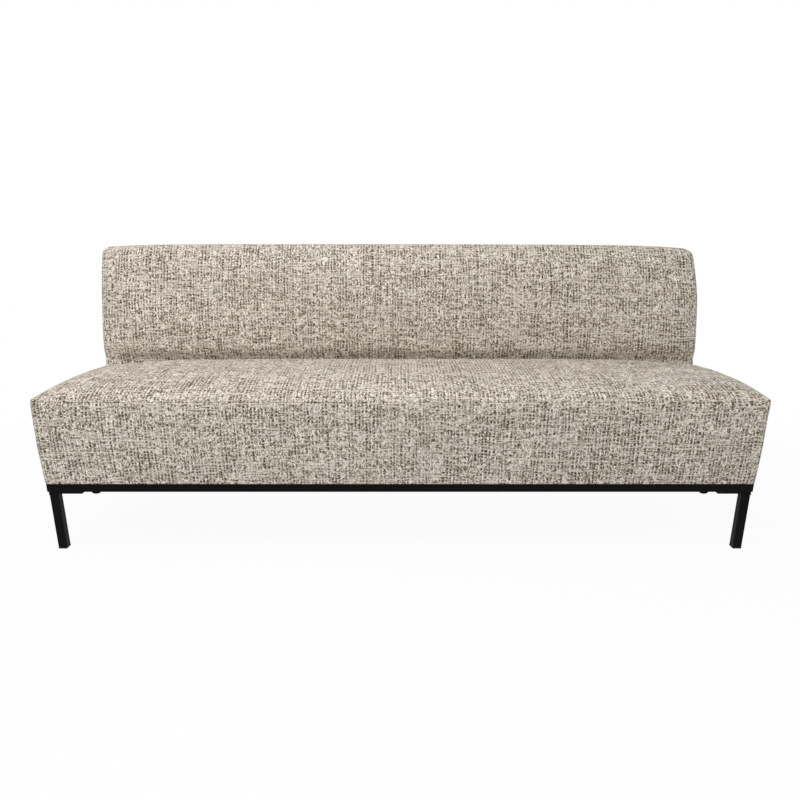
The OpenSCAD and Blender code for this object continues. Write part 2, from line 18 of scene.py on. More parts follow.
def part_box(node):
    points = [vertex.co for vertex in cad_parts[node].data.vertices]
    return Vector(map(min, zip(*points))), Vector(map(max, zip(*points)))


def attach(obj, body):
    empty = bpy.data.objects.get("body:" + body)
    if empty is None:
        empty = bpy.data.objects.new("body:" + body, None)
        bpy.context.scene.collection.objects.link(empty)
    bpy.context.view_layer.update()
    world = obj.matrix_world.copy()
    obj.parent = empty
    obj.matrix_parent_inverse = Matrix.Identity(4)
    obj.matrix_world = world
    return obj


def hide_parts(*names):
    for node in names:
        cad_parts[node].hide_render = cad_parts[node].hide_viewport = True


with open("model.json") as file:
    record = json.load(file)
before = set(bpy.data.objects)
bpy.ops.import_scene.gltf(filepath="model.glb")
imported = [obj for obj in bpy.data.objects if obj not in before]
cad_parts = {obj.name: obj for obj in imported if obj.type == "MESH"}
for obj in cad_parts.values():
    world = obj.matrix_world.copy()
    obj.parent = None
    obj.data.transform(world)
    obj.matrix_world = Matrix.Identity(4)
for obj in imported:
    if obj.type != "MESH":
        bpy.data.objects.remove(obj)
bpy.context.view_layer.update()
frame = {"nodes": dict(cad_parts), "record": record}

# %% [markdown]
# ## Camera
# The camera stands in front of the middle of the bench, a little above the top of the back,
# and looks down by about 19 degrees. The picture was cropped after it was taken, so its optical
# centre lies below the middle of the frame. The lens shift gives that, and keeps the legs'
# upright lines as they are. Turning the camera instead would lean them.

# %% Camera
picture_side = 800
focal_length_pixels = 691
optical_centre_row = 465
camera_pitch = 18.655
camera_place = (0, -2.161, 0.8745)
camera_data = bpy.data.cameras.new("bench_camera")
camera_data.sensor_width = 36
camera_data.lens = focal_length_pixels * camera_data.sensor_width / picture_side
camera_data.shift_y = (optical_centre_row - picture_side / 2) / picture_side
camera = bpy.data.objects.new("bench_camera", camera_data)
camera.location = camera_place
camera.rotation_euler = (math.radians(90 - camera_pitch), 0, 0)
bpy.context.scene.collection.objects.link(camera)
bpy.context.scene.camera = camera
bpy.context.scene.view_settings.view_transform = "Standard"
print("lens, mm:", round(camera_data.lens, 1))

# %% [markdown]
# ## Materials as expressions
# A material is a board of nodes joined by wires. Long chains of Math nodes are hard to read,
# so one small class wraps a wire and lets Python's own signs add the nodes: `1 - mask` becomes
# a Subtract node. Every other node comes from its one method.

# %% A wire that does arithmetic
class Wire:
    def __init__(self, tree, socket=None):
        self.tree = tree
        self.socket = socket

    def node(self, kind, settings=None, sockets=None, out=0):
        made = self.tree.nodes.new(kind)
        for key, value in (settings or {}).items():
            if key == "stops":
                for stop, (place, colour) in zip(made.color_ramp.elements, value):
                    stop.position = place
                    stop.color = (*colour, 1)
            else:
                setattr(made, key, value)
        for key, value in (sockets or {}).items():
            if isinstance(value, Wire):
                self.tree.links.new(value.socket, made.inputs[key])
            else:
                made.inputs[key].default_value = value
        return Wire(self.tree, made.outputs[out] if len(made.outputs) else None)

    def sum(self, operation, *values):
        return self.node("ShaderNodeMath", {"operation": operation}, dict(enumerate(values)))

    def __add__(self, other):
        return self.sum("ADD", self, other)

    def __sub__(self, other):
        return self.sum("SUBTRACT", self, other)

    def __rsub__(self, other):
        return self.sum("SUBTRACT", other, self)

    def __mul__(self, other):
        return self.sum("MULTIPLY", self, other)

    def __truediv__(self, other):
        return self.sum("DIVIDE", self, other)

    __radd__ = __add__
    __rmul__ = __mul__

    def floor(self):
        return self.sum("FLOOR", self)

    def fract(self):
        return self.sum("FRACT", self)

    def below(self, limit):
        return self.sum("LESS_THAN", self, limit)

    def rise(self, start, end):
        """0 below start, 1 above end, and a smooth ramp between them."""
        return self.node("ShaderNodeMapRange", {"interpolation_type": "SMOOTHSTEP"},
                         {"Value": self, "From Min": start, "From Max": end})

    def tint(self, low, high):
        """A colour from low to high as this value goes from 0 to 1."""
        return self.node("ShaderNodeMix", {"data_type": "RGBA"},
                         {0: self, 6: as_colour(low), 7: as_colour(high)}, out=2)


def as_colour(value):
    return value if isinstance(value, Wire) else (*value, 1)


def spot(wire, x, y=0.0, z=0.0):
    """A place in a pattern, from three values."""
    return wire.node("ShaderNodeCombineXYZ", None, {0: x, 1: y, 2: z})


def chance(wire, x, y=0.0, z=0.0):
    """One even random number for each whole-numbered place."""
    return wire.node("ShaderNodeTexWhiteNoise", {"noise_dimensions": "3D"},
                     {"Vector": spot(wire, x, y, z)})


def cloudy(wire, x, y=0.0, z=0.0, detail=2.0):
    """A smooth random value, about 0.5, with lumps about one unit across."""
    return wire.node("ShaderNodeTexNoise", {"noise_dimensions": "3D"},
                     {"Vector": spot(wire, x, y, z), "Scale": 1.0, "Detail": detail})


def start_finish(name):
    """A new material with an empty board, and the wire that everything on it starts from."""
    material = bpy.data.materials.new(name)
    material.use_nodes = True
    material.node_tree.nodes.clear()
    return material, Wire(material.node_tree)


def close_finish(wire, colour, roughness, normal=None, **constants):
    """Joins colour, roughness and normal to the shader, and sets its plain numbers."""
    sockets = {"Base Color": as_colour(colour), "Roughness": roughness}
    if normal is not None:
        sockets["Normal"] = normal
    sockets.update({key.replace("_", " "): value for key, value in constants.items()})
    shader = wire.node("ShaderNodeBsdfPrincipled", None, sockets)
    wire.node("ShaderNodeOutputMaterial", None, {"Surface": shader})


def relief(wire, height, depth, strength=1.0):
    """A normal for a surface with this height, 0 to 1, over a depth in metres."""
    return wire.node("ShaderNodeBump", None,
                     {"Height": height, "Distance": depth, "Strength": strength})


def object_place(wire, unit):
    """X, Y and Z of the object's own space, in units of so many metres."""
    place = wire.node("ShaderNodeTexCoord", None, None, out=3)
    parts = wire.node("ShaderNodeSeparateXYZ", None, {0: place})
    outs = parts.socket.node.outputs
    return [Wire(wire.tree, outs[i]) / unit for i in range(3)]


print("wire methods:", [m for m in vars(Wire) if not m.startswith("__")])

# %% [markdown]
# ## The tweed
# The cloth is a pale tweed. Cream and sand yarns make the ground, thick dark slubs run down the
# warp in broken columns, and pale weft threads cross over them. An image texture would be quick,
# but it would repeat and be flat. Here the yarns are laid out by number: each column of warp and
# each row of weft gets its own luck, so nothing repeats. The pattern reads the pieces' own map,
# in millimetres along the cloth, so it turns over edges and stops at seams as real cloth does.
# A plain number that follows the places in a call of `chance` or `cloudy` is a seed. It keeps
# one piece of luck apart from the next.

# %% Tweed
warp_pitch, weft_pitch = 9.7, 8.7
thin_warp_pitch, thin_slub_run, thin_weft_pitch = 4.85, 6.1, 4.3
fine_warp_pitch, fine_weft_pitch = 1.9, 2.1
slub_luck_share, streak_share, cluster_share = 0.60, 0.42, 0.8
pale_weft_share, thin_weft_share = 0.34, 0.18
tweed, board = start_finish("woven_tweed")
weave_map = board.node("ShaderNodeUVMap", {"uv_map": "weave"})
weave_parts = board.node("ShaderNodeSeparateXYZ", None, {0: weave_map}).socket.node.outputs
flat_u = Wire(board.tree, weave_parts[0]) * 1000
flat_v = Wire(board.tree, weave_parts[1]) * 1000


def drift(u_size, v_size, seed, reach):
    """How far a thread strays from its straight line, in lumps of these sizes."""
    return (cloudy(board, flat_u / u_size, flat_v / v_size, seed) - 0.5) * reach


def bump_between(share, low, high):
    """0 at both ends of a pitch and 1 in its middle, from the share of the pitch passed."""
    return (share * (1 - share) * 4).rise(low, high)


u = flat_u + drift(55, 90, 1.5, 9) + drift(21, 180, 41.5, 13)
v = flat_v + drift(90, 55, 8.5, 9)
column = (u / warp_pitch).floor()
row_wander = cloudy(board, u / 45, v / 17, 33.5) * 1.6
row_place = v / weft_pitch + chance(board, column, 3) * 0.7 + row_wander
row = row_place.floor()
streak = chance(board, column, (v / 75 + chance(board, column, 5) * 5).floor(), 7)
cluster = cloudy(board, u / 38, v / 50, 3.5)
luck = chance(board, column, row, 9) * slub_luck_share + streak * streak_share
darkness = (luck + cluster * cluster_share).rise(0.66, 1.02)
slub = (bump_between((u / warp_pitch).fract(), 0.62, 0.94)
        * bump_between(row_place.fract(), 0.22, 0.72) * darkness)

thin_across = u / thin_warp_pitch + 0.25
thin_column = thin_across.floor()
thin_place = v / thin_slub_run + chance(board, thin_column, 13) * 3
thin_luck = chance(board, thin_column, thin_place.floor(), 17) + cluster * 0.6
thin_slub = (bump_between(thin_across.fract(), 0.4, 0.9)
             * bump_between(thin_place.fract(), 0.1, 0.6) * thin_luck.rise(0.68, 1.12))

weft_place = v / weft_pitch + 0.5 + row_wander
weft_row = weft_place.floor()
weft_run = u / 70 + chance(board, weft_row, 19) * 7
weft_luck = chance(board, weft_row, weft_run.floor(), 23).below(pale_weft_share)
pale_weft = (bump_between(weft_place.fract(), 0.78, 0.97)
             * bump_between(weft_run.fract(), 0.05, 0.25) * weft_luck)
thin_weft_place = v / thin_weft_pitch + 0.2
thin_weft_row = thin_weft_place.floor()
thin_weft_run = u / 21 + chance(board, thin_weft_row, 29) * 7
thin_weft_luck = chance(board, thin_weft_row, thin_weft_run.floor(), 31).below(thin_weft_share)
thin_weft = (bump_between(thin_weft_place.fract(), 0.3, 0.8)
             * bump_between(thin_weft_run.fract(), 0.05, 0.4) * thin_weft_luck)

grain = cloudy(board, u / 3.4, v / 4.4, 13.5, 1.0)
shade = cloudy(board, u / 120, v / 100, 19.5)

ground = grain.rise(0.36, 0.62).tint((0.30, 0.236, 0.165), (0.98, 0.92, 0.82))
ground = (thin_slub * 0.75).tint(ground, (0.155, 0.112, 0.066))
ground = (slub * 0.97).tint(ground, (0.058, 0.034, 0.014))
ground = (thin_weft * 0.55).tint(ground, (0.86, 0.80, 0.71))
ground = (pale_weft * 0.75).tint(ground, (0.84, 0.77, 0.67))
ground = (shade.rise(0.3, 0.7) * 0.10).tint(ground, (0.34, 0.285, 0.225))

warp_line = (u / fine_warp_pitch).fract()
weft_line = (v / fine_weft_pitch).fract()
fine_weave = (warp_line * (1 - warp_line) + weft_line * (1 - weft_line)) * 2
cloth_height = grain * 0.5 + fine_weave * 0.25 + pale_weft * 0.3 + slub * 0.25 + thin_weft * 0.2
close_finish(board, ground, 0.92, relief(board, cloth_height, 0.0018, 0.9),
             Sheen_Weight=0.08, Sheen_Roughness=0.5, Specular_IOR_Level=0.2)
print("tweed nodes:", len(tweed.node_tree.nodes))

# %% [markdown]
# ## Padded blocks
# Each block starts as a box. Its edges are bevelled while it is still a plain box, because the
# bevel is clean there, and it is cut into small squares. Then every point moves by a formula to
# the crowned, leaning or swollen shape, and the cloth solver puffs the panels between their seams.
# A voxel remesh would also give small squares, but it would blur the seams.

# %% Cut a box into squares
hair = 1e-4
same_place = 1e-6
seam_line_reach, seam_half_width = 0.0004, 0.0015
roll_flank = 1.9
foot_crease = 0.9
facing_down = -0.9


def within(value):
    return max(0, min(1, value))


def round_edges(bm, edges, radius, segments):
    bmesh.ops.bevel(bm, geom=edges, offset=radius, offset_type="OFFSET", segments=segments,
                    profile=0.5, affect="EDGES", material=-1)


def marks_between(low, high, step):
    count = math.ceil((high - low) / step)
    return [low + (high - low) * i / count for i in range(1, count)]


def add_box(bm, low, high):
    """A box between two corners; gives its edges, in order."""
    place = Matrix.Translation((low + high) / 2) @ Matrix.Diagonal((*(high - low), 1))
    verts = bmesh.ops.create_cube(bm, size=1, matrix=place)["verts"]
    return list(dict.fromkeys(e for v in verts for e in v.link_edges))


def slice_box(bm, marks, axis):
    direction = Vector([float(i == axis) for i in range(3)])
    for mark in marks:
        everything = bm.verts[:] + bm.edges[:] + bm.faces[:]
        bmesh.ops.bisect_plane(bm, geom=everything, dist=same_place,
                               plane_co=direction * mark, plane_no=direction)


def padded_box(low, high, radius, steps, step, fold, recess):
    """A box for a padded block: rounded above its foot, in squares, the cover's fold underneath.

    A cut beyond each rounded end keeps the squares beside it narrow. The foot's edges get a
    crease, which keeps them crisp when the finer mesh rounds the rest."""
    bm = bmesh.new()
    add_box(bm, low, high)
    above_foot = [e for e in bm.edges if max(v.co.z for v in e.verts) > low.z + hair]
    round_edges(bm, above_foot, radius, steps)
    inner_low, inner_high = low + Vector((fold, fold, 0)), high - Vector((fold, fold, 0))
    slice_box(bm, [inner_low.x, *marks_between(inner_low.x, 0, step), 0,
                   *marks_between(0, inner_high.x, step), inner_high.x], 0)
    slice_box(bm, [low.x + radius * roll_flank, high.x - radius * roll_flank], 0)
    slice_box(bm, [inner_low.y, *marks_between(inner_low.y, inner_high.y, step), inner_high.y], 1)
    slice_box(bm, marks_between(low.y + radius, inner_low.y, step), 1)
    slice_box(bm, marks_between(inner_high.y, high.y - radius, step), 1)
    slice_box(bm, marks_between(low.z, high.z - radius, step), 2)
    opening = [f for f in bm.faces if f.normal.z < facing_down
               and inner_low.x < f.calc_center_median().x < inner_high.x
               and inner_low.y < f.calc_center_median().y < inner_high.y]
    raised = bmesh.ops.extrude_face_region(bm, geom=opening)["geom"]
    bmesh.ops.translate(bm, vec=(0, 0, recess),
                        verts=[g for g in raised if isinstance(g, bmesh.types.BMVert)])
    bmesh.ops.delete(bm, geom=[f for f in opening if f.is_valid], context="FACES")
    bm.normal_update()
    crease = bm.edges.layers.float.new("crease_edge")
    for edge in bm.edges:
        at_foot = max(v.co.z for v in edge.verts) < low.z + recess + hair
        if at_foot and edge.calc_face_angle(0) > 1:
            edge[crease] = foot_crease
    return bm


def open_seam(bm, reach):
    """Splits the edges along a seam into three close lines, so that the middle one can sink."""
    sewn = [e for e in bm.edges if max(reach(v.co) for v in e.verts) < seam_line_reach]
    round_edges(bm, sewn, seam_half_width, 2)
    print("seam edges:", len(sewn))


def report(bm, name):
    loose = sum(not e.is_manifold for e in bm.edges)
    print(name, "faces", len(bm.faces), "open edges", loose)


print("helpers ready")

# %% [markdown]
# ### Cloth map
# Tweed is cut in panels: a top, a front strip that turns round the corners, a rear strip. The map
# is written while the block is still a box, where distances along the cloth are easy to measure.
# Only the seat's height comes from its finished shape, because its crown stretches the top of a
# side most.
# The panels lie apart on the map, so that no two show the same stretch of cloth.

# %% Cloth map
stretched = 1.3
past_45_degrees = 0.7072
end_panel_gap, underside_gap = 0.4, 0.9


def map_cloth(bm, low, high, height_of, turn, lift):
    """Writes the map in metres. A turn carries the front panel over a top edge of that radius."""
    layer = bm.loops.layers.uv.new("weave")
    half = high.x
    for face in bm.faces:
        n, middle = face.normal, face.calc_center_median()
        side = 1 if middle.x > 0 else -1
        for loop in face.loops:
            p = loop.vert.co
            depth, height = p.y - low.y, height_of(p)
            if abs(n.x) > past_45_degrees and turn:
                place = (side * (half + end_panel_gap + depth), height)
            elif n.z > past_45_degrees and not turn:
                place = (p.x, p.z + depth / stretched)
            elif turn and n.y < 0.5 and n.z > -0.5:
                place = (p.x, p.z + depth * within(2 - 2 * (high.z - p.z) / turn))
            elif n.z < -0.7:
                place = (p.x, depth - underside_gap)
            elif n.y > past_45_degrees:
                place = (side * (3 * half + depth - abs(p.x)), height)
            else:
                place = (side * (abs(p.x) + depth), height)
            loop[layer].uv = (place[0], place[1] + lift)


print("cloth map ready")

# %% [markdown]
# ### Puffing the panels
# The cover is sewn and stapled tight over foam. The solver holds the seams, the foot and the faces
# that touch a neighbour, and presses the rest outward from inside for twenty frames. The movement
# is capped, because foam holds a cover back. The result is written into the mesh.

# %% Puff a block
puff_frames, puff_pressure, puff_cap = 20, 4, 0.004
seam_depth, seam_dimple_reach, seam_dimple_share = 0.0042, 0.006, 0.16
pucker_share, pucker_length = 0.35, 0.035
seam_hold, held_fade = 0.0016, 0.03


def puff(block, held):
    """Runs the cloth solver on a block whose held points stay, and keeps the capped result."""
    start = [v.co.copy() for v in block.data.vertices]
    group = block.vertex_groups.new(name="held")
    for index, weight in enumerate(held):
        if weight > 0:
            group.add([index], weight, "REPLACE")
    cloth = block.modifiers.new("cover", "CLOTH")
    cloth.settings.quality = 4
    cloth.settings.mass = 0.4
    cloth.settings.tension_stiffness = 18
    cloth.settings.compression_stiffness = 12
    cloth.settings.shear_stiffness = 8
    cloth.settings.bending_stiffness = 2
    cloth.settings.use_pressure = True
    cloth.settings.uniform_pressure_force = puff_pressure
    cloth.settings.effector_weights.gravity = 0
    cloth.settings.vertex_group_mass = "held"
    cloth.collision_settings.use_collision = False
    cloth.point_cache.frame_start = 1
    cloth.point_cache.frame_end = puff_frames
    for number in range(1, puff_frames + 1):
        bpy.context.scene.frame_set(number)
    solved = block.evaluated_get(bpy.context.evaluated_depsgraph_get()).data
    moves = [s.co - p for s, p in zip(solved.vertices, start)]
    block.modifiers.remove(cloth)
    block.vertex_groups.remove(group)
    for vertex, place, move in zip(block.data.vertices, start, moves):
        far = move.length
        capped = puff_cap * math.tanh(far / puff_cap)
        vertex.co = place + move * (capped / far if far > 1e-7 else 0)
    bpy.context.scene.frame_set(1)
    farthest = max(m.length for m in moves) * 1000
    print(block.name, "moved up to", round(farthest, 1), "mm before the cap")


def shade_smooth(block):
    for polygon in block.data.polygons:
        polygon.use_smooth = True


def finish_soft(block, *nodes):
    shade_smooth(block)
    block.data.materials.append(tweed)
    smooth = block.modifiers.new("fine_mesh", "SUBSURF")
    smooth.levels = smooth.render_levels = 1
    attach(block, "root")
    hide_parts(*nodes)


def new_block(name, bm):
    mesh = bpy.data.meshes.new(name)
    bm.to_mesh(mesh)
    bm.free()
    block = bpy.data.objects.new(name, mesh)
    bpy.context.scene.collection.objects.link(block)
    return block


def wander(place, size, seed):
    """A smooth random number from about -1 to 1 that changes over a length of about size."""
    return noise.noise(Vector(place) / size + Vector((seed, 0, 0)))


def sink_seam(block, reaches):
    """Sinks the middle line of a seam, in puckers, and a little of the cloth beside it."""
    normals = [v.normal.copy() for v in block.data.vertices]
    for vertex, reach, normal in zip(block.data.vertices, reaches, normals):
        if reach < seam_dimple_reach:
            beside = seam_dimple_share * (1 - reach / seam_dimple_reach)
            share = 1 if reach < seam_line_reach else beside
            pucker = 1 + pucker_share * wander(vertex.co, pucker_length, 3)
            vertex.co -= normal * seam_depth * share * pucker


def upholster(name, bm, shape, seam_reach, is_fixed, base):
    """Moves a plain box's points to their finished places, puffs its panels, sinks its seams.

    The solver holds fixed and sewn points fully, and others less as they rise over the base."""
    reaches = [seam_reach(v.co) for v in bm.verts]
    held = [1.0 if is_fixed(v.co) or reach < seam_hold else
            max(0, 1 - (v.co.z - base) / held_fade) for v, reach in zip(bm.verts, reaches)]
    for vertex in bm.verts:
        vertex.co = shape(vertex.co)
    block = new_block(name, bm)
    puff(block, held)
    sink_seam(block, reaches)
    return block


print("solver ready")

# %% [markdown]
# ### Seat
# The seat is one long block. Its top is crowned, highest about half way back, and falls to the
# seam along the front. Beside the back it sinks a little, and more at the ends. The right end's
# upper corner is a little fuller than the left's, as in the photograph. The seam is plain: the
# two cloths are sewn face to face and turned, which leaves a narrow groove that puckers a little
# where the stitches pull.

# %% Seat
cloth_step = 0.0105
seam_height = 0.438
seat_roll, seat_roll_steps = 0.009, 4
seat_crown, seat_crown_power = 0.029, 2.6
seat_front_swell, seat_front_rise = 0.003, 0.5
seat_end_swell, seat_end_turn = 0.005, math.radians(150)
seat_end_crown_share = 0.36
seat_end_lean = 0.08
full_corner, full_corner_start, full_corner_span = 0.0035, 0.8, 0.2
seat_fold, foot_recess, held_foot = 0.045, 0.0017, 0.003
seat_rear_drop = 0.08
seat_rear_end_drop = 0.80
crack_reach = 0.020
crack_depth = 0.015
end_power = 8
seat_end_power = 14
seat_rear_end_power = 6
box_low, box_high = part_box("seat_cover")
seat_low = Vector((box_low.x + seat_end_swell, box_low.y + seat_front_swell, box_low.z))
seat_high = Vector((box_high.x - seat_end_swell, box_high.y, seam_height + seat_roll))
seat_bm = padded_box(seat_low, seat_high, seat_roll, seat_roll_steps, cloth_step,
                     seat_fold, foot_recess)


def seat_crown_at(s, rear_drop):
    """The crown's share at s, which goes from 0 at the front to 1 at the rear."""
    if s < 0.5:
        return 1 - (1 - 2 * s) ** seat_crown_power
    return 1 - rear_drop * (2 * s - 1) ** 2


def swell_at(rise):
    return math.sin(math.pi / 2 * within(rise / seat_front_rise))


def shape_seat(p):
    """From a place on the plain box to its place on the crowned block."""
    share = within(abs(p.x) / seat_high.x)
    rise = (p.z - seat_low.z) / (seam_height - seat_low.z)
    across = (p.y - seat_low.y) / (seat_high.y - seat_low.y)
    s = within((p.y - seat_low.y - seat_roll) / (seat_high.y - seat_low.y - 2 * seat_roll))
    end_share = seat_end_crown_share + math.copysign(seat_end_lean, p.x)
    power = seat_end_power + (seat_rear_end_power - seat_end_power) * within(2 * s - 1)
    fade = share ** power
    rear_drop = seat_rear_drop + (seat_rear_end_drop - seat_rear_drop) * fade
    crown = seat_crown * seat_crown_at(s, rear_drop) * (1 - (1 - end_share) * fade)
    crack = crack_depth * within(1 - (seat_high.y - p.y) / crack_reach) ** 2
    end_swell = seat_end_swell * math.sin(seat_end_turn * within(rise))
    if p.x > 0:
        end_swell += full_corner * within((rise - full_corner_start) / full_corner_span)
    return Vector((
        p.x + math.copysign(end_swell * share ** end_power, p.x),
        p.y - seat_front_swell * swell_at(rise) * (1 - across),
        p.z + (crown - crack) * within((p.z - seam_height) / seat_roll),
    ))


def seat_seam_reach(p):
    """How far a place on the plain box is from the seam, level round the foot of the roll."""
    return abs(p.z - seam_height)


open_seam(seat_bm, seat_seam_reach)
map_cloth(seat_bm, seat_low, seat_high, lambda p: shape_seat(p).z, turn=0, lift=0)
report(seat_bm, "seat box")
seat_block = upholster("seat_cushion", seat_bm, shape_seat, seat_seam_reach,
                       lambda p: p.z < seat_low.z + held_foot or p.y > seat_high.y - hair,
                       seat_low.z)
finish_soft(seat_block, "seat_cover", "seat_foam")
print("seat:", len(seat_block.data.polygons), "faces")

# %% [markdown]
# ### Back
# The back leans away from the sitter and its face swells forward between foot and top, over a
# shallow groove beside the seat. Its rear corners are tighter than its front ones, so that the
# hardboard behind stays inside. Its cloth runs up the face and over the top to a seam along the
# rear edge, and is sewn to an end panel at each end, round the corner from the face.

# %% Back
back_radius, back_roll_steps = 0.027, 6
back_top_depth = 0.092
back_lean = 0.082
back_swell = 0.022
back_end_swell = 0.009
back_end_drop = 0.012
back_end_swell_share = 0.35
back_top_rise = 0.0035
rear_radius, rear_blend = 0.010, 0.045
rear_start, rear_span = 0.4, 0.3
corner_reach, corner_span = 0.09, 0.06
groove_pull, groove_height = 0.014, 0.05
worn_pull, worn_reach, worn_rear_share = 0.018, 0.18, 0.6
worn_height_power, worn_end_power = 1.5, 4
worn_drop, worn_drop_power = 0.0042, 1.5
full_swell = 0.003
cushion_gap = 0.0006
back_fold, back_hold = 0.032, 0.43
back_map_lift = 3
solid_crown = 0.038
face_top_margin, rear_top_margin = 0.034, 0.028
seam_turn = math.radians(60)
box_low, box_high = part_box("back_cover")
back_front = seat_high.y + cushion_gap
back_base_depth = 0.130
back_low = Vector((box_low.x + back_end_swell, back_front, box_low.z))
back_high = Vector((box_high.x - back_end_swell, back_front + back_top_depth, box_high.z))
back_bm = padded_box(back_low, back_high, back_radius, back_roll_steps, cloth_step,
                     back_fold, foot_recess)
front_kink = seam_height + solid_crown / 3
rear_kink = 0.400


def tighten(inset):
    """How far a point this far from a corner's side moves out, to leave a smaller radius."""
    gain = back_radius - rear_radius
    return gain * min(inset / back_radius, within(1 - (inset - back_radius) / rear_blend))


def shape_back(p):
    """From the plain box to the leaning block, whose right end is more worn than its left."""
    share = within(abs(p.x) / back_high.x)
    depth_share = (p.y - back_low.y) / back_top_depth
    height_share = (p.z - back_low.z) / (back_high.z - back_low.z)
    s = within((p.z - front_kink) / (back_high.z - face_top_margin - front_kink))
    swell = back_swell * (1 - (1 - back_end_swell_share) * share ** end_power)
    front = back_front + back_lean * max(0, p.z - front_kink) / (back_high.z - front_kink)
    front -= swell * math.sin(math.pi * s) ** 0.5
    front += groove_pull * math.sin(math.pi * within((p.z - front_kink) / groove_height) ** 0.5)
    lean = within((p.z - rear_kink) / (back_high.z - rear_top_margin - rear_kink))
    rear = back_front + back_base_depth + (back_lean + back_top_depth - back_base_depth) * lean
    outward = back_end_swell * share ** end_power * math.sin(math.pi * height_share)
    drop = back_end_drop * share ** end_power
    to_end = back_high.x - abs(p.x)
    rearness = within((depth_share - rear_start) / rear_span)
    below_top = within((back_high.z - p.z) / rear_blend)
    outward += tighten(to_end) * rearness * below_top
    near_end = within((corner_reach - to_end) / corner_span)
    corner_push = tighten(back_high.y - p.y) * near_end * below_top
    if p.x > 0:
        near_top = within(1 - (back_high.z - p.z) / worn_reach)
        worn = near_top ** worn_height_power * share ** worn_end_power
        outward -= worn_pull * worn * (1 - worn_rear_share * rearness)
        drop += worn_drop * share ** worn_drop_power
    else:
        outward += full_swell * share ** end_power * math.sin(math.pi * height_share)
        drop -= full_swell * share ** end_power
    return Vector((
        p.x + outward * math.copysign(1, p.x),
        front + (rear - front) * depth_share + corner_push,
        p.z - drop * max(0, height_share) + back_top_rise * within(height_share * 2 - 1),
    ))


def back_seam_reach(p):
    """How far a place is from the seams: round each end, and along the rear top edge."""
    along = back_radius * (1 - math.sin(seam_turn))
    inward = back_radius * (1 - math.cos(seam_turn))
    to_end = abs(back_high.x - along - abs(p.x))
    near = min(abs(p.y - back_low.y - inward), abs(back_high.y - inward - p.y),
               abs(back_high.z - inward - p.z))
    edge = back_radius * (1 - math.sqrt(0.5))
    rear = math.hypot(back_high.y - edge - p.y, back_high.z - edge - p.z)
    return min(math.hypot(to_end, near), rear)


open_seam(back_bm, back_seam_reach)
map_cloth(back_bm, back_low, back_high, lambda p: p.z, back_radius, back_map_lift)
report(back_bm, "back box")
back_block = upholster("back_cushion", back_bm, shape_back, back_seam_reach,
                       lambda p: p.z < back_hold, back_hold)
finish_soft(back_block, "back_cover", "back_foam")
print("back:", len(back_block.data.polygons), "faces")

# %% [markdown]
# ## Powder coat
# The steel frame is powder coated. The coat is nearly black, a little rough, with a fine orange
# peel.

# %% Powder coat
def start_in_mm(name):
    """A new material, its empty board, and X, Y and Z on the piece in millimetres."""
    material, wire = start_finish(name)
    return material, wire, *object_place(wire, 0.001)


powder_coat, board, x, y, z = start_in_mm("black_powder_coat")
peel = cloudy(board, x / 1.1, y / 1.1, z / 1.1)
patches = cloudy(board, x / 45, y / 45, z / 45)
coat_colour = patches.rise(0.3, 0.7).tint((0.0017, 0.0017, 0.0018), (0.0029, 0.0029, 0.0030))
close_finish(board, coat_colour, patches * 0.12 + 0.42, relief(board, peel, 0.00012, 0.6),
             Specular_IOR_Level=0.08)
print("powder coat ready")

# %% [markdown]
# ## Other finishes
# Each hidden part gets the finish of its real stuff: softwood with growth rings, plywood with its
# plies, pressed hardboard, elastic webbing, zinc, nylon and the black cloth underneath. The foam
# needs none, because the padded blocks stand for it.

# %% Finishes for the hidden parts
def wood(name, light, dark, ring_mm):
    """Straight grained timber whose grain runs along X."""
    material, wire, x, y, z = start_in_mm(name)
    wave = cloudy(wire, x / 160, y / 30, z / 30, 3.0)
    rings = ((y * 0.8 + z) / ring_mm + wave * 7).fract()
    pores = cloudy(wire, x / 14, y / 0.7, z / 0.7)
    colour = (rings * 0.8 + pores * 0.3).tint(light, dark)
    close_finish(wire, colour, pores * 0.15 + 0.6, relief(wire, pores, 0.0003, 0.5))
    return material


softwood = wood("softwood", (0.60, 0.42, 0.24), (0.42, 0.26, 0.12), 9)

plywood, board, x, y, z = start_in_mm("plywood")
plies = (x / 1.5).floor() * 0.5
ply = plies.fract() * 2
fleck = cloudy(board, x / 3, y / 9, z / 60, 3.0)
close_finish(board, (ply * 0.6 + fleck * 0.5).tint((0.58, 0.41, 0.23), (0.40, 0.25, 0.12)), 0.65,
             relief(board, fleck, 0.0003, 0.4))

hardboard, board, x, y, z = start_in_mm("hardboard")
fibre = cloudy(board, x / 1.4, y / 1.4, z / 3.0, 4.0)
close_finish(board, fibre.rise(0.3, 0.7).tint((0.17, 0.095, 0.045), (0.27, 0.165, 0.085)), 0.55,
             relief(board, fibre, 0.0002, 0.4))

webbing, board, x, y, z = start_in_mm("elastic_webbing")
rib = ((x + y + z) / 2.5).fract()
rib = rib * (1 - rib) * 4
close_finish(board, rib.tint((0.012, 0.011, 0.010), (0.045, 0.042, 0.038)), 0.8,
             relief(board, rib, 0.0004, 0.8))

zinc, board, x, y, z = start_in_mm("zinc_plate")
bloom = cloudy(board, x / 2.5, y / 2.5, z / 2.5, 3.0)
close_finish(board, bloom.tint((0.55, 0.56, 0.58), (0.72, 0.72, 0.70)), bloom * 0.2 + 0.25,
             Metallic=1.0)

nylon, board, x, y, z = start_in_mm("black_nylon")
speck = cloudy(board, x / 0.8, y / 0.8, z / 0.8)
close_finish(board, speck.tint((0.006, 0.006, 0.006), (0.012, 0.012, 0.012)), speck * 0.1 + 0.38,
             relief(board, speck, 0.0001, 0.4))

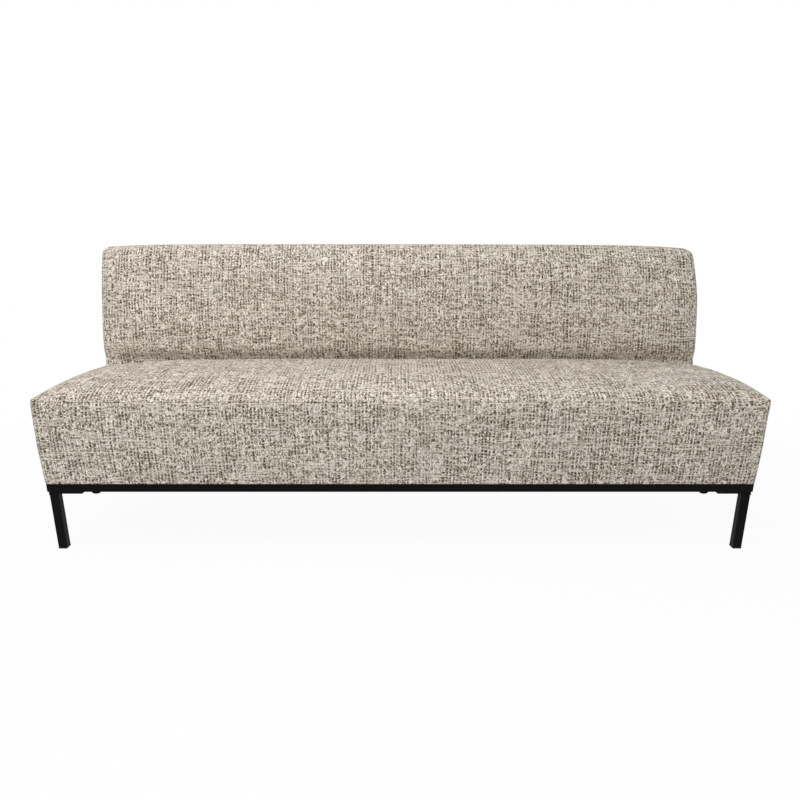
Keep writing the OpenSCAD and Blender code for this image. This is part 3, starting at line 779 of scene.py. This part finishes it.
dust_cloth, board, x, y, z = start_in_mm("spun_dust_cloth")
felt = cloudy(board, x / 1.2, y / 1.2, 0.5, 4.0)
dot_x, dot_y = (x / 2.4).fract(), (y / 2.4).fract()
dots = (dot_x * (1 - dot_x) * dot_y * (1 - dot_y) * 16).rise(0.45, 0.7)
spun = felt * 0.7 + dots * 0.3
close_finish(board, spun.tint((0.006, 0.006, 0.007), (0.030, 0.030, 0.032)), 0.85,
             relief(board, felt - dots * 0.4, 0.0004, 0.7))
print("finishes ready")

# %% [markdown]
# ### Tubes
# Square tube is drawn with small round corners. The rails are cut at 45 degrees, welded and ground
# flush, which leaves a hairline at each mitre, and the legs stand under plates. The solid model's
# tubes have razor edges that catch no light. Here a cube is stretched to each tube's box, its long
# edges are bevelled, a plane cuts the mitres, and the rim of each cut gets a hair of bevel.

# %% Tube helpers
tube_side = 0.025
tube_corner = 0.0025
rim_bevel = 0.0005
sharp_from = math.radians(50)


def runs_along(edge, axis):
    direction = edge.verts[1].co - edge.verts[0].co
    return abs(direction[axis]) > 0.99 * direction.length


def tube_piece(low, high, axis):
    bm = bmesh.new()
    edges = add_box(bm, low, high)
    round_edges(bm, [e for e in edges if runs_along(e, axis)], tube_corner, 4)
    return bm


def cut_mitre(bm, corner, outward):
    """Cuts a tube by an upright plane through its outer corner, closes it and softens its rim."""
    everything = bm.verts[:] + bm.edges[:] + bm.faces[:]
    cut = bmesh.ops.bisect_plane(bm, geom=everything, dist=same_place, plane_co=corner,
                                 plane_no=outward, clear_outer=True)["geom_cut"]
    rim = [g for g in cut if isinstance(g, bmesh.types.BMEdge)]
    bmesh.ops.edgeloop_fill(bm, edges=rim)
    round_edges(bm, rim, rim_bevel, 1)


def finish_hard(name, bm, finish, slot, *nodes):
    """Makes a hard piece from a bmesh, with crisp faces between its rounded edges."""
    bmesh.ops.recalc_face_normals(bm, faces=bm.faces[:])
    report(bm, name)
    block = new_block(name, bm)
    shade_smooth(block)
    block.data.set_sharp_from_angle(angle=sharp_from)
    block.modifiers.new("crisp_faces", "WEIGHTED_NORMAL").keep_sharp = True
    block.data.materials.append(finish)
    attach(block, "root")
    if nodes:
        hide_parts(*nodes)


print("tube corner, mm:", tube_corner * 1000)

# %% Rails
frame_low, frame_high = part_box("front_rail")[0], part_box("rear_rail")[1]
for node, y, inward in (("front_rail", frame_low.y, 1), ("rear_rail", frame_high.y, -1)):
    bm = tube_piece(*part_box(node), 0)
    cut_mitre(bm, (frame_low.x, y, 0), (-1, inward, 0))
    cut_mitre(bm, (frame_high.x, y, 0), (1, inward, 0))
    finish_hard("steel_" + node, bm, powder_coat, "black_powder_coat", node)
for node, x, inward in (("left_end_rail", frame_low.x, 1), ("right_end_rail", frame_high.x, -1)):
    bm = tube_piece(*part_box(node), 1)
    cut_mitre(bm, (x, frame_low.y, 0), (inward, -1, 0))
    cut_mitre(bm, (x, frame_high.y, 0), (inward, 1, 0))
    finish_hard("steel_" + node, bm, powder_coat, "black_powder_coat", node)
finish_hard("steel_centre_rail", tube_piece(*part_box("centre_rail"), 1), powder_coat,
            "black_powder_coat", "centre_rail")

# %% Legs
leg_names = ["front_left_leg", "front_right_leg", "rear_left_leg", "rear_right_leg"]
for node in leg_names:
    bm = tube_piece(*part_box(node), 2)
    foot = [e for e in bm.edges if max(v.co.z for v in e.verts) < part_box(node)[0].z + hair]
    round_edges(bm, foot, rim_bevel, 1)
    finish_hard("steel_" + node, bm, powder_coat, "black_powder_coat", node)

# %% [markdown]
# ### Welds
# A small bead runs round the top of each leg, where it meets its plate, and round both ends of the
# centre rail. Its scales come from the welder's steps. Each bead starts as a thin rounded collar,
# is sliced every few millimetres and drawn in between the scales.

# %% Weld beads
bead_size, bead_rounding = 0.0026, 0.45
scale_length, scale_depth = 0.0034, 0.0005
rail_bead_spread = 0.2
bead_bm = bmesh.new()


def add_bead(low, high, axis):
    """A rippled collar round a tube, from one end face at low to its far side at high."""
    bead = bmesh.new()
    edges = add_box(bead, low, high)
    round_edges(bead, [e for e in edges if runs_along(e, axis)], tube_corner + bead_size, 3)
    ends = [e for e in bead.edges
            if abs(e.verts[0].co[axis] - e.verts[1].co[axis]) < same_place]
    round_edges(bead, ends, bead_size * bead_rounding, 2)
    middle = (low + high) / 2
    for i in range(3):
        if i != axis:
            first, last = low[i] + tube_corner, high[i] - tube_corner
            slice_box(bead, marks_between(first, last, scale_length / 2), i)
    for vertex in bead.verts:
        away = vertex.co - middle
        away[axis] = 0
        turn = sum(vertex.co[i] for i in range(3) if i != axis) / scale_length
        vertex.co -= away.normalized() * scale_depth * (1 - math.cos(2 * math.pi * turn)) / 2
    mesh = bpy.data.meshes.new("bead")
    bead.to_mesh(mesh)
    bead.free()
    bead_bm.from_mesh(mesh)
    bpy.data.meshes.remove(mesh)


for node in leg_names:
    low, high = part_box(node)
    grow = Vector((bead_size, bead_size, 0))
    add_bead(Vector((low.x, low.y, high.z - bead_size)) - grow, high + grow, 2)
low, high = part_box("centre_rail")
grow = Vector((bead_size, 0, bead_size * rail_bead_spread))
add_bead(low - grow, Vector((high.x, low.y + bead_size, high.z)) + grow, 1)
add_bead(Vector((low.x, high.y - bead_size, low.z)) - grow, high + grow, 1)
finish_hard("weld_beads", bead_bm, powder_coat, "black_powder_coat")

# %% [markdown]
# ### Bolts and screws
# Under the front rail the photograph shows a low round bump near each end: the head of a bolt that
# fixes the frame to the seat. Such heads take a hexagon key. The head is a profile spun round its
# axis. A circle of six sides is bridged to its rim and pushed in for the key.

# %% Bolt heads
def spin_profile(bm, profile, centre, steps=24):
    """Spins points, each a radius and a height, round an upright line; gives its open rim."""
    verts = [bm.verts.new(centre + Vector((radius, 0, height))) for radius, height in profile]
    edges = [bm.edges.new(pair) for pair in zip(verts, verts[1:])]
    bmesh.ops.spin(bm, geom=verts + edges, cent=centre, axis=(0, 0, 1), angle=2 * math.pi,
                   steps=steps, use_merge=True)
    bmesh.ops.remove_doubles(bm, verts=bm.verts[:], dist=same_place)
    return [e for e in bm.edges if e.is_boundary]


def add_socket_head(bm, centre, profile, key_reach, key_depth):
    """A head that faces down, its profile spun from the shank to the rim of its hexagon socket."""
    rim = spin_profile(bm, profile, centre)
    face_height = Vector((0, 0, profile[-1][1]))
    hexagon = bmesh.ops.create_circle(bm, segments=6, radius=key_reach,
                                      matrix=Matrix.Translation(centre + face_height))["verts"]
    mouth = list(dict.fromkeys(e for v in hexagon for e in v.link_edges))
    bmesh.ops.bridge_loops(bm, edges=rim + mouth)
    pushed = bmesh.ops.extrude_edge_only(bm, edges=mouth)["geom"]
    bmesh.ops.translate(bm, vec=(0, 0, key_depth),
                        verts=[g for g in pushed if isinstance(g, bmesh.types.BMVert)])
    bmesh.ops.edgeloop_fill(bm, edges=[g for g in pushed if isinstance(g, bmesh.types.BMEdge)])


bolt_low, bolt_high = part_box("frame_bolts")
head_radius, head_height, shank_radius = 0.012, 0.006, 0.003
dome_share, dome_steps, socket_mouth = 0.6, 5, 0.0042
bolt_key_reach, bolt_key_depth = 0.0029, 0.0026
head_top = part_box("frame_bolt_washers")[0].z
dome_height = head_height * dome_share
dome_radius = (head_radius ** 2 + dome_height ** 2) / (2 * dome_height)
dome = []
for i in range(dome_steps + 1):
    radius = head_radius - (head_radius - socket_mouth) * i / dome_steps
    drop = dome_radius - math.sqrt(dome_radius ** 2 - radius ** 2)
    dome.append((radius, bolt_low.z - head_top + drop))
head_profile = [(0, bolt_high.z - head_top), (shank_radius, bolt_high.z - head_top),
                (shank_radius, 0), (head_radius, 0), *dome]
bolt_bm = bmesh.new()
for x in (bolt_low.x + head_radius, bolt_high.x - head_radius):
    for y in (bolt_low.y + head_radius, bolt_high.y - head_radius):
        add_socket_head(bolt_bm, Vector((x, y, head_top)), head_profile,
                        bolt_key_reach, bolt_key_depth)
finish_hard("socket_bolts", bolt_bm, powder_coat, "black_powder_coat", "frame_bolts")

# %% Plate screws
screw_low, screw_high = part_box("leg_plate_screws")
screw_radius, screw_head_radius, screw_head_height = 0.003, 0.006, 0.003
screw_rim_height, screw_rim_inset, screw_mouth = 0.0002, 0.0003, 0.0032
screw_key_reach, screw_key_depth = 0.0023, 0.0017
screw_length = screw_high.z - screw_low.z
screw_profile = [(0, screw_length), (screw_radius, screw_length),
                 (screw_radius, screw_head_height), (screw_head_radius, screw_rim_height),
                 (screw_head_radius - screw_rim_inset, 0), (screw_mouth, 0)]
screw_reach = 0.079
screw_bm = bmesh.new()
for corner_x, side in ((frame_low.x, 1), (frame_high.x, -1)):
    for corner_y, end in ((frame_low.y, 1), (frame_high.y, -1)):
        for a, b in ((screw_reach, tube_side / 2), (tube_side / 2, screw_reach)):
            centre = Vector((corner_x + side * a, corner_y + end * b, screw_low.z))
            add_socket_head(screw_bm, centre, screw_profile, screw_key_reach, screw_key_depth)
finish_hard("countersunk_screws", screw_bm, zinc, "zinc_plated_steel", "leg_plate_screws")

# %% [markdown]
# ### Glides
# A black nylon glide plugs each leg and keeps the steel off the floor. Its rim is as wide as the
# tube and softly rounded, and a slimmer plug goes up into the tube.

# %% Glides
glide_rounding, plug_rounding = 0.0008, 0.0012
plug_inset, plug_overlap = Vector((0.0024, 0.0024, 0)), 0.0004
for node in ("front_left_glide", "front_right_glide", "rear_left_glide", "rear_right_glide"):
    low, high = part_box(node)
    rim_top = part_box(node.replace("glide", "leg"))[0].z
    bm = bmesh.new()
    round_edges(bm, add_box(bm, low, Vector((high.x, high.y, rim_top))), glide_rounding, 3)
    plug_low = Vector((low.x, low.y, rim_top - plug_overlap)) + plug_inset
    plug_edges = add_box(bm, plug_low, high - plug_inset)
    round_edges(bm, [e for e in plug_edges if runs_along(e, 2)], plug_rounding, 2)
    finish_hard("nylon_" + node, bm, nylon, "black_nylon", node)

# %% [markdown]
# ## Under the seat
# A thin black cloth keeps dust out. Its edge is turned under and held by staples, it is pulled
# tight, and it still sags a little in each bay. It is one grid of small squares whose points move
# by a formula, because the sag is only a few millimetres and a solver would add nothing to it.

# %% Dust cloth
cloth_low, cloth_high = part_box("seat_dust_cover")
cloth_size = cloth_high - cloth_low
cloth_thick = 0.0006
hem_width = 0.015
hem_margin, hem_blend = 0.0015, 0.002
sag_depth = 0.0035
staple_pitch = 0.048
gather_depth, gather_reach = 0.0003, 0.02
ripple_depth, ripple_length = 0.0006, 0.06
cloth_rest, side_strip = 0.2, 0.8
dust_bm = bmesh.new()
cloth_place = (Matrix.Translation((cloth_low + cloth_high) / 2)
               @ Matrix.Diagonal((*(cloth_size / 2), 1)))
bmesh.ops.create_grid(dust_bm, x_segments=190, y_segments=42, size=1, matrix=cloth_place)
for vertex in dust_bm.verts:
    p = vertex.co
    along_bay = within(abs(p.x) / (cloth_size.x / 2)) * 2 - 1
    across_bay = (p.y - cloth_low.y) / cloth_size.y * 2 - 1
    bay = max(0, 1 - along_bay ** 2) * max(0, 1 - across_bay ** 2)
    edge = min(cloth_size.x / 2 - abs(p.x), p.y - cloth_low.y, cloth_high.y - p.y)
    along_edge = p.x if abs(across_bay) > side_strip else p.y
    gather = math.cos(2 * math.pi * along_edge / staple_pitch) * math.exp(-edge / gather_reach)
    turned = within((hem_width + hem_margin - edge) / hem_blend)
    hem = cloth_high.z - cloth_thick * (cloth_rest + turned)
    p.z = hem - sag_depth * bay - gather_depth * (1 + gather) * (1 - turned)
    p.z += ripple_depth * bay * wander(p, ripple_length, 11)
bmesh.ops.solidify(dust_bm, geom=dust_bm.faces[:], thickness=-cloth_thick)
bmesh.ops.recalc_face_normals(dust_bm, faces=dust_bm.faces[:])
report(dust_bm, "dust cloth")
dust_sheet = new_block("dust_cloth_sheet", dust_bm)
shade_smooth(dust_sheet)
dust_sheet.data.materials.append(dust_cloth)
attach(dust_sheet, "root")
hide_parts("seat_dust_cover")

# %% [markdown]
# ### Staples
# Staples 12 mm wide hold the cloth's turned edge, and another row holds the cover's folded edge
# outside it. Each is a thin bar with softened edges, and none lies where a rail crosses.

# %% Staples
staple_half, staple_rounding = Vector((0.006, 0.0006, 0.0003)), 0.0002
hem_layers = 2.2
staple_bm = bmesh.new()


def add_staple(x, y, z, turned):
    half = Vector((staple_half.y, staple_half.x, staple_half.z)) if turned else staple_half
    middle = Vector((x, y, z - staple_half.z))
    edges = add_box(staple_bm, middle - half, middle + half)
    along = [e for e in edges if runs_along(e, 1 if turned else 0)]
    round_edges(staple_bm, along, staple_rounding, 1)


def staple_row(low, high, z):
    """Staples along the four sides of a rectangle on the underside, clear of the centre rail."""
    for y in (low.y, high.y):
        for x in marks_between(low.x, high.x, staple_pitch):
            if abs(x) > tube_side:
                add_staple(x, y, z, False)
    for x in (low.x, high.x):
        for y in marks_between(low.y, high.y, staple_pitch):
            add_staple(x, y, z, True)


inside, outside = Vector((0.008, 0.008, 0)), Vector((0.007, 0.007, 0))
staple_row(cloth_low + inside, cloth_high - inside, cloth_high.z - cloth_thick * hem_layers)
staple_row(cloth_low - outside, cloth_high + outside, seat_low.z)
finish_hard("staples", staple_bm, zinc, "zinc_plated_steel")
print("dust cloth, m:", round(cloth_size.x, 4), "by", round(cloth_size.y, 4))

# %% [markdown]
# The back's underside has the same black cloth, glued flat inside the folded edge of its cover.

# %% Cloth under the back
lowest, highest = back_low.z + 0.001, back_low.z + 0.003
back_block.data.materials.append(dust_cloth)
under_back = 0
for polygon in back_block.data.polygons:
    if polygon.normal.z < facing_down and lowest < polygon.center.z < highest:
        polygon.material_index = 1
        under_back += 1
print("faces under the back:", under_back)

# %% Dress the solids that stay
solid_finishes = {
    "black_powder_coat": powder_coat, "black_nylon": nylon, "zinc_plated_steel": zinc,
    "softwood": softwood, "plywood": plywood, "hardboard": hardboard,
    "elastic_webbing": webbing, "dust_cloth": dust_cloth,
    "upholstery_foam": tweed, "woven_fabric": tweed,
}
dressed = 0
for part in frame["record"]["subparts"]:
    for holder in frame["nodes"][part["node"]].material_slots:
        holder.link = "OBJECT"
        holder.material = solid_finishes[part["material_slot"]]
        dressed += 1
print("solids dressed:", dressed)

# %% [markdown]
# ## Floor and light
# A plain pale floor and a soft overhead light. The floor looks white to the camera and still takes
# a faint shadow. The world is white to the camera and to gloss, and lights the bench more gently.

# %% Floor
floor_reach = 30
floor_tone, floor_glow = 0.84, 0.95
near_squared, far_squared = 2.0, 6.0


def seen_directly(wire):
    """1 for a camera, gloss or glass ray, and 0 for the light that falls on the bench."""
    outs = wire.node("ShaderNodeLightPath").socket.node.outputs
    kinds = ("Camera", "Glossy", "Transmission")
    camera_ray, gloss, glass = [Wire(wire.tree, outs[f"Is {kind} Ray"]) for kind in kinds]
    seen = camera_ray + gloss + glass
    return seen.sum("MINIMUM", seen, 1)


floor_bm = bmesh.new()
bmesh.ops.create_grid(floor_bm, x_segments=1, y_segments=1, size=floor_reach)
floor = new_block("floor", floor_bm)
floor_finish, board = start_finish("pale_floor")
x, y, z = object_place(board, 1)
far = (x * x + y * y).rise(near_squared, far_squared)
paper = board.node("ShaderNodeBsdfDiffuse", None, {"Color": (*(floor_tone,) * 3, 1)})
white = board.node("ShaderNodeEmission", None, {"Color": (1, 1, 1, 1), "Strength": 1.0})
share = seen_directly(board) * (far * (1 - floor_glow) + floor_glow)
mixed = board.node("ShaderNodeMixShader", None, {0: share, 1: paper, 2: white})
board.node("ShaderNodeOutputMaterial", None, {"Surface": mixed})
floor.data.materials.append(floor_finish)
print("floor ready")

# %% World and lamp
world = bpy.data.worlds.new("studio")
bpy.context.scene.world = world
world.use_nodes = True
world.node_tree.nodes.clear()
fill_light = 0.565
board = Wire(world.node_tree)
strength = seen_directly(board) * (1 - fill_light) + fill_light
sky = board.node("ShaderNodeBackground", None, {"Color": (1, 1, 1, 1), "Strength": strength})
board.node("ShaderNodeOutputWorld", None, {"Surface": sky})

lamp_place, lamp_aim = Vector((-1.0, -1.4, 3.3)), Vector((-0.2, -0.1, 0.4))
lamp = bpy.data.lights.new("overhead_softbox", "AREA")
lamp.shape = "DISK"
lamp.size = 2.2
lamp.energy = 62
softbox = bpy.data.objects.new("overhead_softbox", lamp)
softbox.location = lamp_place
softbox.rotation_euler = (lamp_aim - lamp_place).to_track_quat("-Z", "Y").to_euler()
bpy.context.scene.collection.objects.link(softbox)
print("lamp ready")

# %% [markdown]
# The dressed bench has to stay inside the solid model's box, apart from the little that cloth may
# stand proud.
